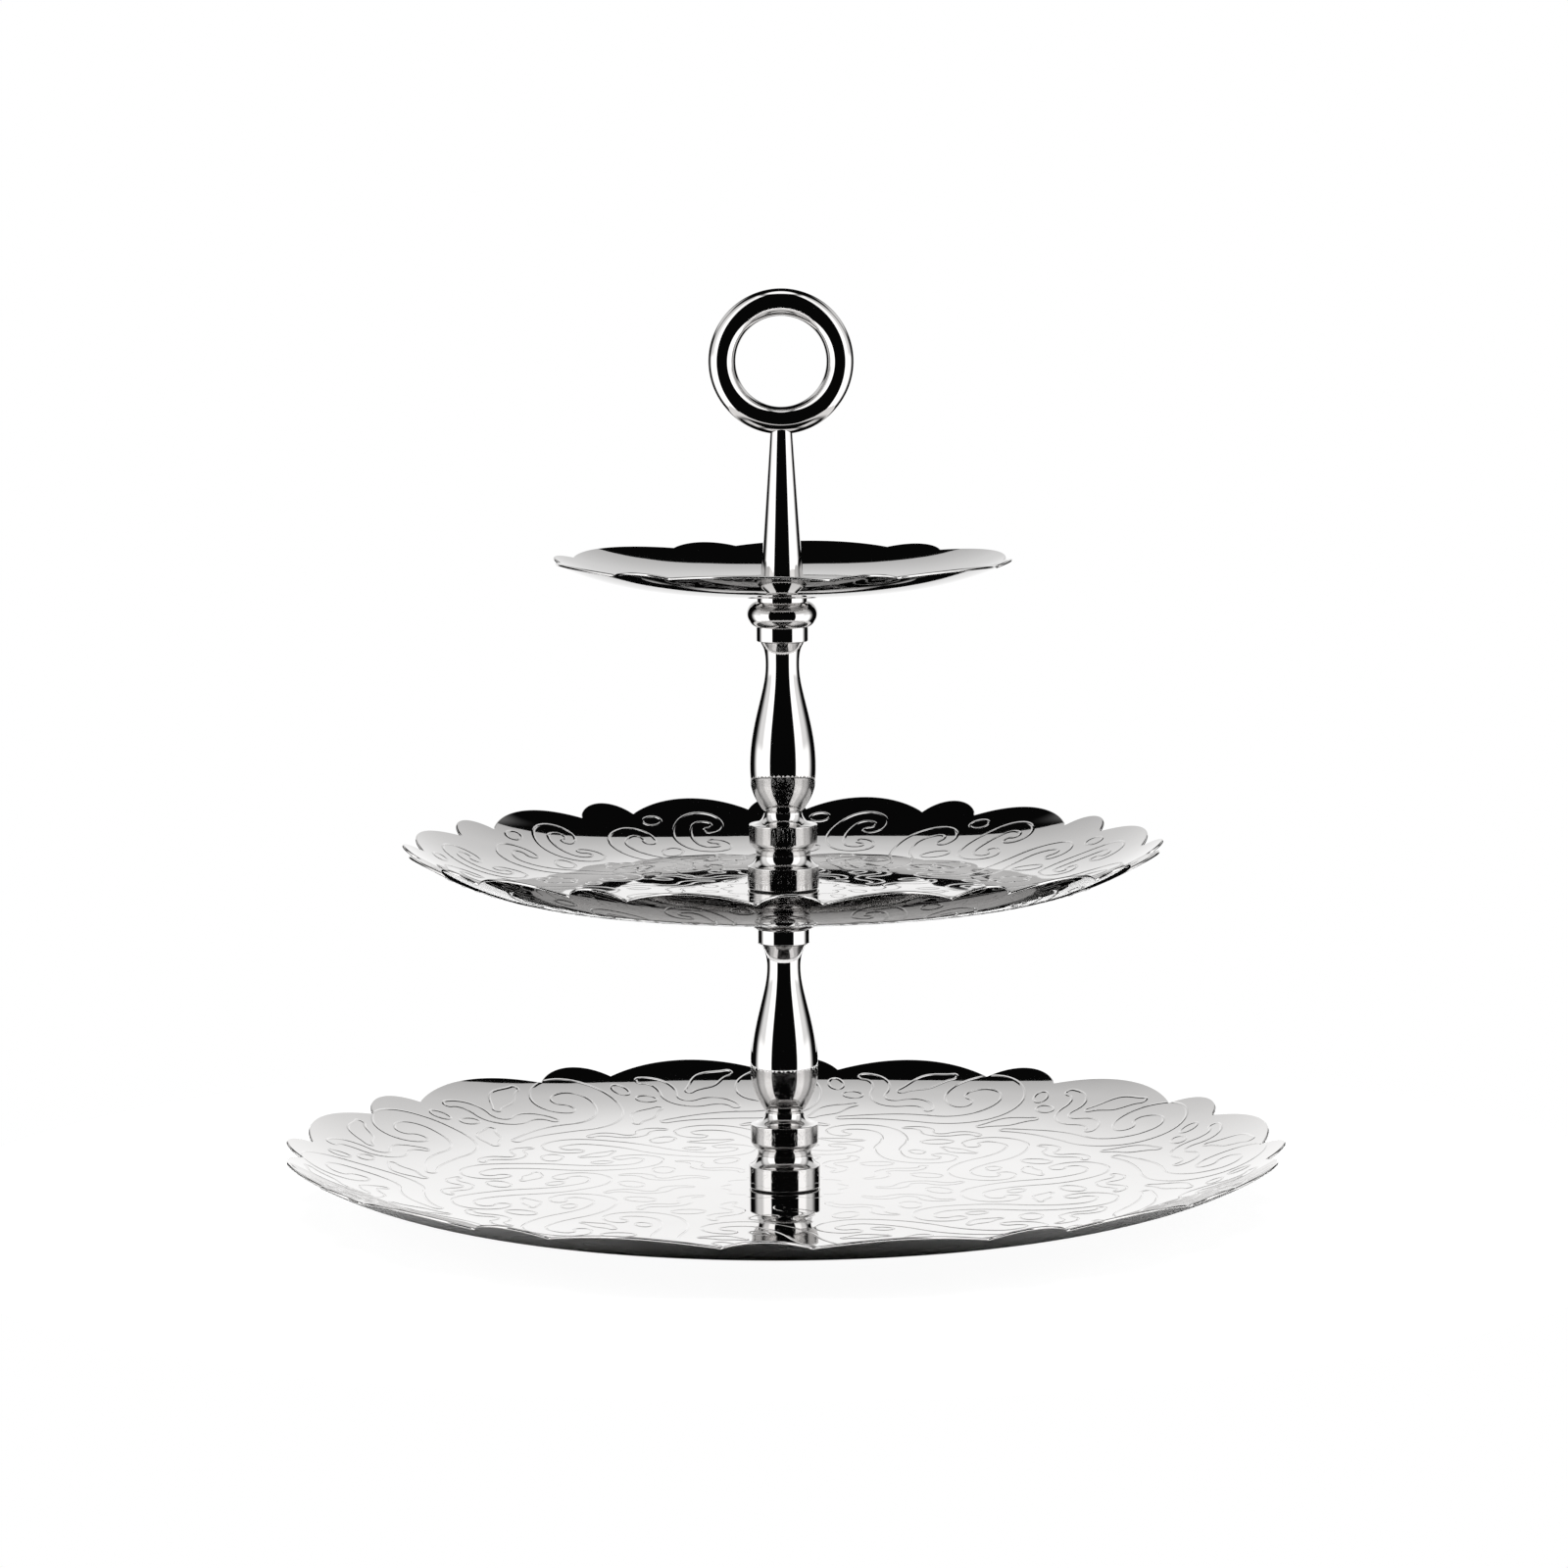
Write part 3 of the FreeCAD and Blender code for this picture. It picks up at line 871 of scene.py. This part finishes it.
def back_card():
    """Pale card behind the stand, brighter towards the table, which only the steel sees."""
    card = stage_sheet("back_card", [
        (-CARD_HALF, CARD_AWAY, CARD_LOW), (CARD_HALF, CARD_AWAY, CARD_LOW),
        (CARD_HALF, CARD_AWAY, CARD_TOP), (-CARD_HALF, CARD_AWAY, CARD_TOP)])
    material = bpy.data.materials.new("card_glow")
    material.use_nodes = True
    tree = material.node_tree
    tree.nodes.clear()
    place = node(tree, "ShaderNodeTexCoord").outputs["Object"]
    height = node(tree, "ShaderNodeSeparateXYZ", {"Vector": place}).outputs["Z"]
    near_table = mapped(tree, height, (0.09, 0.37), (1.14, 0.78), interpolation_type="SMOOTHSTEP")
    near_top = mapped(tree, height, (0.37, 0.49), (1.0, 0.78))
    strength = Sums(tree).times(near_table, near_top)
    light = node(tree, "ShaderNodeEmission", {"Strength": strength})
    node(tree, "ShaderNodeOutputMaterial", {"Surface": light.outputs[0]})
    card.data.materials.append(material)
    card.visible_camera = False
    card.visible_diffuse = False
    card.visible_shadow = False


def camera():
    """Long lens above the stand's top, looking slightly down at it, with a slight roll."""
    data = bpy.data.cameras.new("camera")
    data.sensor_width = 36.0
    data.lens = 126.1
    data.clip_start = 0.05
    data.clip_end = 20.0
    eye = bpy.data.objects.new("camera", data)
    bpy.context.scene.collection.objects.link(eye)
    down = math.radians(6.776)
    roll = math.radians(-0.27)
    turn = Matrix.Rotation(math.pi / 2.0 - down, 4, "X") @ Matrix.Rotation(roll, 4, "Z")
    place = Vector((0.35, -1841.0, 361.0)) * MM
    eye.matrix_world = Matrix.Translation(place) @ turn
    bpy.context.scene.camera = eye


# ---- the stand -----------------------------------------------------------------------------
# radius and height of the points that a column's long swelling runs through
BALUSTER = [
    (7.2, 27.4), (9.8, 31.9), (11.1, 36.5), (11.45, 41.3), (10.9, 49.9), (9.3, 58.3),
    (7.3, 66.3), (5.95, 73.4), (5.85, 77.6), (6.4, 81.2), (7.7, 83.9)]


def low_edge(radius, height, edge=EDGE, step=0.1):
    """Rounded outer edge at the bottom of a step."""
    nip = 0.3 * edge
    return arc((radius - edge, height), (radius - nip, height + nip), (radius, height + edge), step)


def high_edge(radius, height, edge=EDGE, step=0.1):
    """Rounded outer edge at the top of a step."""
    nip = 0.3 * edge
    return arc((radius, height - edge), (radius - nip, height - nip), (radius - edge, height), step)


def column_profile():
    """One turned section, z counted from the dish floor that it stands on."""
    drum, drum_top = 12.1, 8.0
    waist, waist_z = 9.45, 13.7
    cap, cap_low, cap_top = 11.55, 16.1, 22.2
    neck, neck_z = 6.5, 26.8
    collar, collar_low, collar_top = 8.9, 84.1, 88.9
    bead, bead_z = 12.05, 93.1
    shoulder, shoulder_low = 8.6, 97.6
    top = PITCH - FLANGE_LOW
    seat = PITCH - STUD_ROOT
    runs = straight((SOCKET_R, GASKET_T), (drum - EDGE, GASKET_T))
    runs += low_edge(drum, GASKET_T)
    runs += straight((drum, GASKET_T + EDGE), (drum, drum_top - EDGE))
    runs += high_edge(drum, drum_top)
    runs += arc((drum - EDGE, drum_top), (9.7, 10.0), (waist, waist_z), 0.3)
    runs += arc((waist, waist_z), (cap - 0.855, 14.65), (cap, cap_low), 0.15)
    runs += straight((cap, cap_low), (cap, cap_top - EDGE))
    runs += high_edge(cap, cap_top)
    runs += arc((cap - EDGE, cap_top), (neck + 0.9, 23.7), (neck, neck_z), 0.2)
    runs += straight((neck, neck_z), BALUSTER[0])
    runs += flowing(BALUSTER, 90)
    runs += straight(BALUSTER[-1], (collar - EDGE, collar_low))
    runs += low_edge(collar, collar_low)
    runs += straight((collar, collar_low + EDGE), (collar, collar_top))
    runs += arc((collar, collar_top), (bead, bead_z), (shoulder, shoulder_low), 0.2)
    runs += straight(
        (shoulder, shoulder_low), (shoulder, top), (THREAD_R, top), (THREAD_R, seat),
        (0.0, seat), (0.0, SOCKET_DEPTH), (SOCKET_R, SOCKET_DEPTH), (SOCKET_R, GASKET_T))
    return runs


def flange_profile():
    """Thin disc with a pointed rim, z counted like the column's."""
    low = PITCH - FLANGE_LOW
    top = PITCH - FLANGE_HIGH
    inner = THREAD_R + 0.1
    hub, shelf, rim, tip = 8.75, 10.05, 11.55, 11.65
    hub_top = low + 0.35
    middle = (hub_top + top) / 2.0
    half = 0.08
    runs = straight((inner, low), (hub, low), (hub, hub_top), (rim, middle - half))
    runs += arc((rim, middle - half), (tip, middle), (rim, middle + half), 0.05)
    runs += straight((rim, middle + half), (shelf, top), (inner, top), (inner, low))
    return runs


def ring_size():
    """Centre of the finger ring, radius of its centre line and radius of its bar."""
    low, high = extent("handle_ring")
    bar = (high[1] - low[1]) / 2.0
    return (low + high) / 2.0, (high[0] - low[0]) / 2.0 - bar, bar


def stem_profile():
    """Tapered stem that runs into the ring's bar, z counted from the top dish floor."""
    ring_centre, ring_r, _ = ring_size()
    tip = ring_centre[2] - FLOORS["upper"] - ring_r
    foot, foot_top = 8.6, 2.6
    taper = [(7.2, foot_top), (6.1, 17.8), (4.6, 39.0), (3.45, tip)]
    runs = straight((SOCKET_R, GASKET_T), (foot - EDGE, GASKET_T))
    runs += low_edge(foot, GASKET_T)
    runs += straight((foot, GASKET_T + EDGE), (foot, foot_top - EDGE))
    runs += high_edge(foot, foot_top)
    runs += straight((foot - EDGE, foot_top), taper[0])
    runs += flowing(taper, 60)
    runs += straight(
        taper[-1], (0.0, tip), (0.0, SOCKET_DEPTH), (SOCKET_R, SOCKET_DEPTH), (SOCKET_R, GASKET_T))
    return runs


def finger_ring(material):
    """Round-bar ring in the XZ plane."""
    centre, radius, tube = ring_size()
    round_count, tube_count = 256, 72
    points, faces, normals = [], [], []
    for i in range(round_count):
        a = 2.0 * math.pi * i / round_count
        out = np.array([math.cos(a), 0.0, math.sin(a)])
        for k in range(tube_count):
            b = 2.0 * math.pi * k / tube_count
            normal = out * math.cos(b) + np.array([0.0, math.sin(b), 0.0])
            points.append(centre + out * radius + normal * tube)
            normals.append(tuple(normal))
    for i in range(round_count):
        for k in range(tube_count):
            a, b = i * tube_count + k, i * tube_count + (k + 1) % tube_count
            c, d = [(v + tube_count) % (round_count * tube_count) for v in (b, a)]
            faces.append((a, b, c, d))
    piece = add_mesh("handle_ring_bar", points, faces, "handle", ["handle_ring"],
                     material)
    piece.data.normals_split_custom_set_from_vertices(normals)


def flat_ring(node_name, body, material):
    """A thin ring the size of its CAD node, with rounded outer edges."""
    low, high = extent(node_name)
    thick = high[2] - low[2]
    radius = (high[0] - low[0]) / 2.0
    edge = 0.4 * thick
    runs = straight((SOCKET_R, 0.0), (radius - edge, 0.0))
    runs += low_edge(radius, 0.0, edge, 0.06)
    runs += straight((radius, edge), (radius, thick - edge))
    runs += high_edge(radius, thick, edge, 0.06)
    runs += straight((radius - edge, thick), (SOCKET_R, thick), (SOCKET_R, 0.0))
    turned(node_name + "_ring", runs, low[2], body, [node_name], material)


def foot_pad(node_name, material):
    """Round rubber pad with a rounded foot that is hollow in the middle."""
    low, high = extent(node_name)
    centre = (low + high) / 2.0
    radius = (high[0] - low[0]) / 2.0
    height = high[2] - low[2]
    dent_r, tread_r = 0.5 * radius, 0.66 * radius
    runs = straight((0.0, PAD_DENT), (dent_r, PAD_DENT))
    runs += arc((dent_r, PAD_DENT), (0.58 * radius, 0.07), (tread_r, 0.0), 0.2)
    runs += straight((tread_r, 0.0), (radius - PAD_EDGE, 0.0))
    runs += low_edge(radius, 0.0, PAD_EDGE, 0.2)
    runs += straight((radius, PAD_EDGE), (radius, height), (0.0, height))
    turned(node_name + "_button", runs, low[2], "base", [node_name], material,
           centre=(centre[0], centre[1]), around=72)


def threaded_rod(name, node_name, low, high, body, material):
    """Screw thread with pointed crests, tapered at both ends, between two heights."""
    per_turn, around = 10, 60
    rows = int(round((high - low) / THREAD_PITCH * per_turn)) + 1
    heights = np.linspace(low, high, rows)
    turns = 2.0 * math.pi * np.arange(around) / around
    place = heights[:, None] / THREAD_PITCH - turns[None, :] / (2.0 * math.pi)
    flank, flat_crest = 2.4, 0.1
    from_crest = np.abs(np.mod(place, 1.0) - 0.5)
    depth = THREAD_DEPTH * np.clip(flank * from_crest - flat_crest, 0.0, 1.0)
    to_end = np.minimum(heights - low, high - heights)[:, None]
    reach = np.minimum(THREAD_R - depth, THREAD_R - TIP_TAPER + to_end)
    x = reach * np.cos(turns)
    y = reach * np.sin(turns)
    z = np.repeat(heights[:, None], around, axis=1)
    points = list(np.stack([x, y, z], 2).reshape(-1, 3))
    faces = []
    for first in range(0, (rows - 1) * around, around):
        above = first + around
        for i in range(around):
            j = (i + 1) % around
            faces.append((first + i, first + j, above + j, above + i))
    last = (rows - 1) * around
    points += [np.array([0.0, 0.0, low]), np.array([0.0, 0.0, high])]
    for i in range(around):
        j = (i + 1) % around
        faces.append((j, i, rows * around))
        faces.append((last + i, last + j, rows * around + 1))
    piece = add_mesh(name, points, faces, body, [node_name], material)
    piece.data.set_sharp_from_angle(angle=CREASE)


def screw_head(material):
    """Flat round head under the lowest dish, with a rounded rim and a slot."""
    low, high = extent("base_screw")
    radius = (high[0] - low[0]) / 2.0
    rim = 0.6 * HEAD_H
    runs = straight((0.0, 0.0), (radius - rim, 0.0))
    runs += low_edge(radius, 0.0, rim, 0.15)
    runs += straight((radius, rim), (radius, HEAD_H), (0.0, HEAD_H))
    head = turned("base_screw_head", runs, low[2], "base", ["base_screw"],
                  material, around=96)
    far, half = 2.0 * radius, SLOT_W / 2.0
    levels = (low[2] - 1.0, low[2] + SLOT_DEPTH)
    corners = [(x, y, z) for z in levels for y in (-half, half) for x in (-far, far)]
    sides = [(0, 2, 3, 1), (4, 5, 7, 6), (0, 1, 5, 4), (2, 6, 7, 3), (0, 4, 6, 2), (1, 3, 7, 5)]
    mesh = bpy.data.meshes.new("slot_cutter")
    mesh.from_pydata([tuple(MM * v for v in corner) for corner in corners], [], sides)
    cutter = bpy.data.objects.new("slot_cutter", mesh)
    bpy.context.scene.collection.objects.link(cutter)
    cut = head.modifiers.new("slot", "BOOLEAN")
    cut.object = cutter
    cut.operation = "DIFFERENCE"
    cut.solver = "EXACT"
    ready = head.evaluated_get(bpy.context.evaluated_depsgraph_get())
    carved = bpy.data.meshes.new_from_object(ready)
    head.modifiers.clear()
    head.data = carved
    bpy.data.objects.remove(cutter)
    head.data.set_sharp_from_angle(angle=CREASE)


camera()
studio()
table_top()
back_card()
steel = polished_steel("polished_steel")
# the dish sheets get painted shade: a darker colour on their faces that look down
sheet_steel_painted_shade = polished_steel("polished_steel_sheet_painted_shade", painted_shade_beneath=0.55)
dish("lower", "base", sheet_steel_painted_shade)
dish("middle", "middle_tier", sheet_steel_painted_shade)
dish("upper", "top_tier", sheet_steel_painted_shade)
for level, floor in (("lower", FLOORS["lower"]), ("upper", FLOORS["middle"])):
    for part, profile in (("_column", column_profile()), ("_flange", flange_profile())):
        turned(level + part + "_turned", profile, floor, level + "_section", [level + part],
               steel)
turned("handle_stem_turned", stem_profile(), FLOORS["upper"], "handle", ["handle_stem"],
       steel)
finger_ring(steel)

dull_steel = fastener_steel()
plastic = soft_black("gasket_plastic", (0.010, 0.022), (0.38, 0.55), 2400.0, 1e-5)
rubber = soft_black("pad_rubber", (0.014, 0.034), (0.62, 0.85), 1300.0, 3e-5)
for node_name, body in (
        ("base_gasket", "base"), ("lower_gasket", "lower_lift"),
        ("middle_under_gasket", "lower_section"), ("middle_gasket", "upper_lift"),
        ("upper_under_gasket", "upper_section"), ("upper_gasket", "handle_lift")):
    flat_ring(node_name, body, plastic)
flat_ring("base_washer", "base", dull_steel)
for number in range(1, 5):
    foot_pad("foot_pad_" + str(number), rubber)
for node_name, body in (("middle_stud", "lower_section"), ("upper_stud", "upper_section")):
    low, high = extent(node_name)
    threaded_rod(node_name + "_thread", node_name, low[2], high[2], body, dull_steel)
low, high = extent("base_screw")
threaded_rod("base_screw_thread", "base_screw", low[2] + HEAD_H - 0.3, high[2], "base", dull_steel)
screw_head(dull_steel)

view = bpy.context.scene.view_settings
view.view_transform = "Standard"
view.look = "None"
